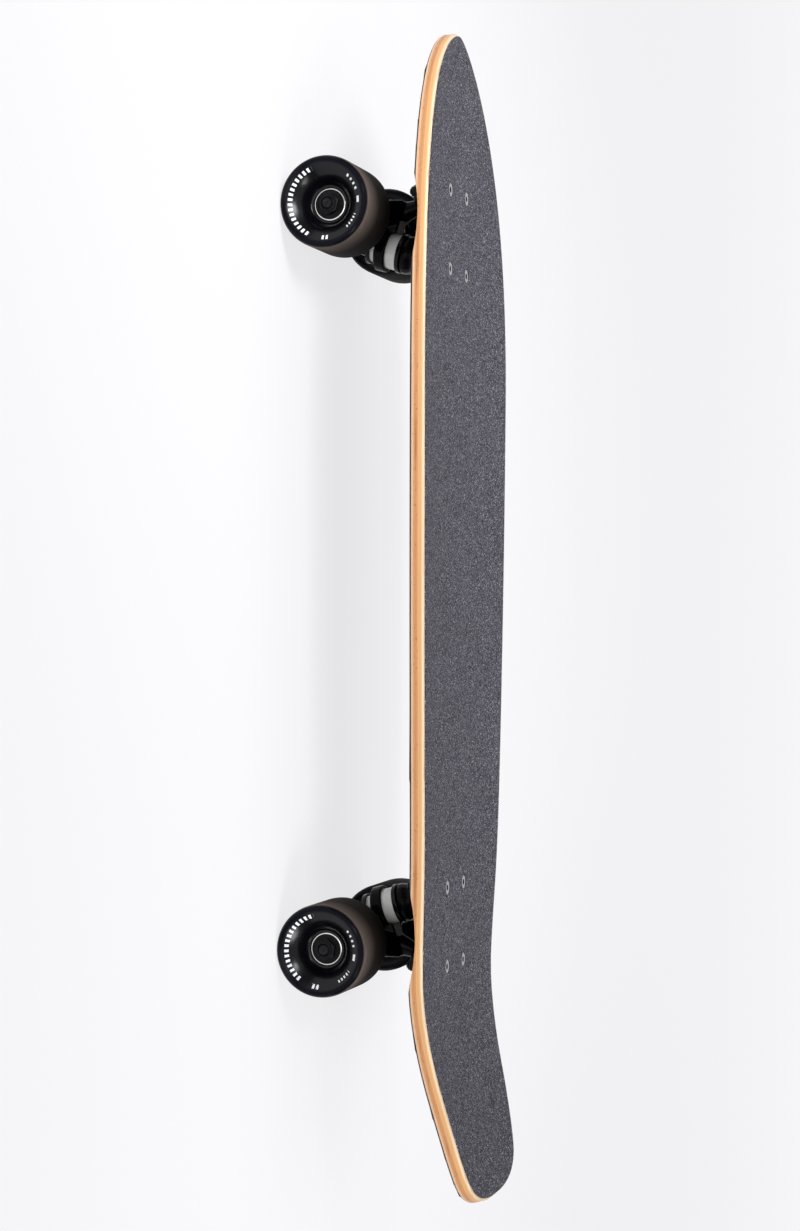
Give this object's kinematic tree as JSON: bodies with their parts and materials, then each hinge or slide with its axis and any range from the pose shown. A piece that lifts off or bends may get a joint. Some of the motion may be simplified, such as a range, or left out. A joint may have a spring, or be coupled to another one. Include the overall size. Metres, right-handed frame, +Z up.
{
  "type": "cruiser skateboard",
  "caption": "Cruiser skateboard: concave plywood deck with a kicktail and grip surface, on sprung kingpin trucks with soft wheels that spin on shielded bearings.",
  "frame": {"origin": "middle of the overall length and width, at the level that the wheels stand on", "axes": "+X towards the nose, +Y to the board's left, +Z up"},
  "size_m": [0.8046, 0.2116, 0.1285],
  "materials": {
    "plywood": "clear-coated plywood edge",
    "grip": "coarse abrasive sheet",
    "black_casting": "black powder-coated casting",
    "bright_steel": "bright zinc-plated steel",
    "dark_steel": "blackened steel",
    "wheel_urethane": "cast polyurethane, glossy sides and matt tread",
    "bushing_urethane": "soft cast polyurethane",
    "black_rubber": "moulded rubber"
  },
  "bodies": {
    "board": {"deck": "plywood", "grip_tape": "grip", "front_riser_pad": "black_rubber", "front_baseplate": "black_casting", "front_pivot_cup": "black_rubber", "front_kingpin": "dark_steel", "front_kingpin_nut": "dark_steel", "front_boardside_bushing": "bushing_urethane", "front_roadside_bushing": "bushing_urethane", "front_boardside_washer": "dark_steel", "front_roadside_washer": "dark_steel", "front_bolt_1": "dark_steel", "front_bolt_2": "dark_steel", "front_bolt_3": "dark_steel", "front_bolt_4": "dark_steel", "front_lock_nut_1": "dark_steel", "front_lock_nut_2": "dark_steel", "front_lock_nut_3": "dark_steel", "front_lock_nut_4": "dark_steel", "rear_riser_pad": "black_rubber", "rear_baseplate": "black_casting", "rear_pivot_cup": "black_rubber", "rear_kingpin": "dark_steel", "rear_kingpin_nut": "dark_steel", "rear_boardside_bushing": "bushing_urethane", "rear_roadside_bushing": "bushing_urethane", "rear_boardside_washer": "dark_steel", "rear_roadside_washer": "dark_steel", "rear_bolt_1": "dark_steel", "rear_bolt_2": "dark_steel", "rear_bolt_3": "dark_steel", "rear_bolt_4": "dark_steel", "rear_lock_nut_1": "dark_steel", "rear_lock_nut_2": "dark_steel", "rear_lock_nut_3": "dark_steel", "rear_lock_nut_4": "dark_steel"},
    "front_left_wheel": {"front_left_wheel": "wheel_urethane", "front_left_inner_bearing": "bright_steel", "front_left_outer_bearing": "bright_steel"},
    "front_right_wheel": {"front_right_wheel": "wheel_urethane", "front_right_inner_bearing": "bright_steel", "front_right_outer_bearing": "bright_steel"},
    "front_hanger": {"front_hanger": "black_casting", "front_axle": "bright_steel", "front_left_spacer": "bright_steel", "front_left_axle_nut": "dark_steel", "front_right_spacer": "bright_steel", "front_right_axle_nut": "dark_steel"},
    "rear_left_wheel": {"rear_left_wheel": "wheel_urethane", "rear_left_inner_bearing": "bright_steel", "rear_left_outer_bearing": "bright_steel"},
    "rear_right_wheel": {"rear_right_wheel": "wheel_urethane", "rear_right_inner_bearing": "bright_steel", "rear_right_outer_bearing": "bright_steel"},
    "rear_hanger": {"rear_hanger": "black_casting", "rear_axle": "bright_steel", "rear_left_spacer": "bright_steel", "rear_left_axle_nut": "dark_steel", "rear_right_spacer": "bright_steel", "rear_right_axle_nut": "dark_steel"}
  },
  "joints": [
    {"name": "front_steer", "type": "hinge", "parent": "board", "child": "front_hanger", "pos_m": [0.25531, 0, 0.0452], "axis": [0.7431, 0, 0.6691], "range_deg": [-15, 15], "stiffness_Nm_per_rad": 30, "deforming": ["front_boardside_bushing", "front_roadside_bushing"]},
    {"name": "front_left_wheel_spin", "type": "hinge", "parent": "front_hanger", "child": "front_left_wheel", "pos_m": [0.27501, 0, 0.031], "axis": [0, 1, 0], "continuous": true},
    {"name": "front_right_wheel_spin", "type": "hinge", "parent": "front_hanger", "child": "front_right_wheel", "pos_m": [0.27501, 0, 0.031], "axis": [0, 1, 0], "continuous": true},
    {"name": "rear_steer", "type": "hinge", "parent": "board", "child": "rear_hanger", "pos_m": [-0.20309, 0, 0.0452], "axis": [-0.7431, 0, 0.6691], "range_deg": [-15, 15], "stiffness_Nm_per_rad": 30, "deforming": ["rear_boardside_bushing", "rear_roadside_bushing"]},
    {"name": "rear_left_wheel_spin", "type": "hinge", "parent": "rear_hanger", "child": "rear_left_wheel", "pos_m": [-0.22279, 0, 0.031], "axis": [0, 1, 0], "continuous": true},
    {"name": "rear_right_wheel_spin", "type": "hinge", "parent": "rear_hanger", "child": "rear_right_wheel", "pos_m": [-0.22279, 0, 0.031], "axis": [0, 1, 0], "continuous": true}
  ]
}
